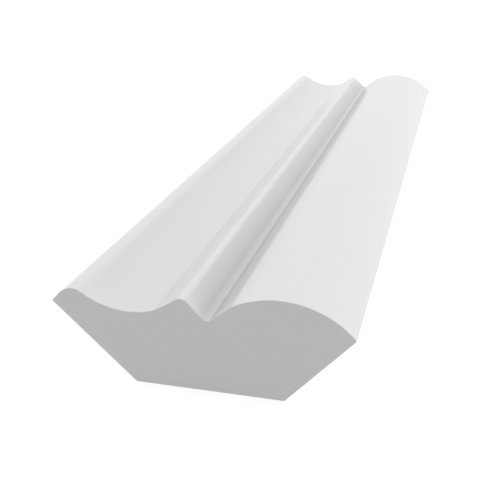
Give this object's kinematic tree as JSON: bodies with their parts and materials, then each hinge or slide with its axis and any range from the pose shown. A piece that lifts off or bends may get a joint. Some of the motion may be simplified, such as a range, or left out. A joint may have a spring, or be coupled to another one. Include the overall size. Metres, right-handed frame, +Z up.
{
  "type": "bed moulding",
  "caption": "Straight length of white bed moulding: lip, broad cove, bevel and bead, a narrow quirk and a large ovolo, with a flat back and two seats square to each other.",
  "frame": {"origin": "on the surface the moulding lies on, under the middle of its width between the two tips and of its length", "axes": "+X across the moulding from the tip that meets the wall to the tip that meets the ceiling, +Y along its length away from the viewer, +Z up out of its moulded face"},
  "size_m": [0.057, 0.233, 0.0197],
  "materials": {
    "white_trim": "smooth white, between matt and satin, on the moulded face, the seats, the back and the sawn ends"
  },
  "bodies": {
    "root": {"bed_moulding": "white_trim"}
  },
  "joints": []
}
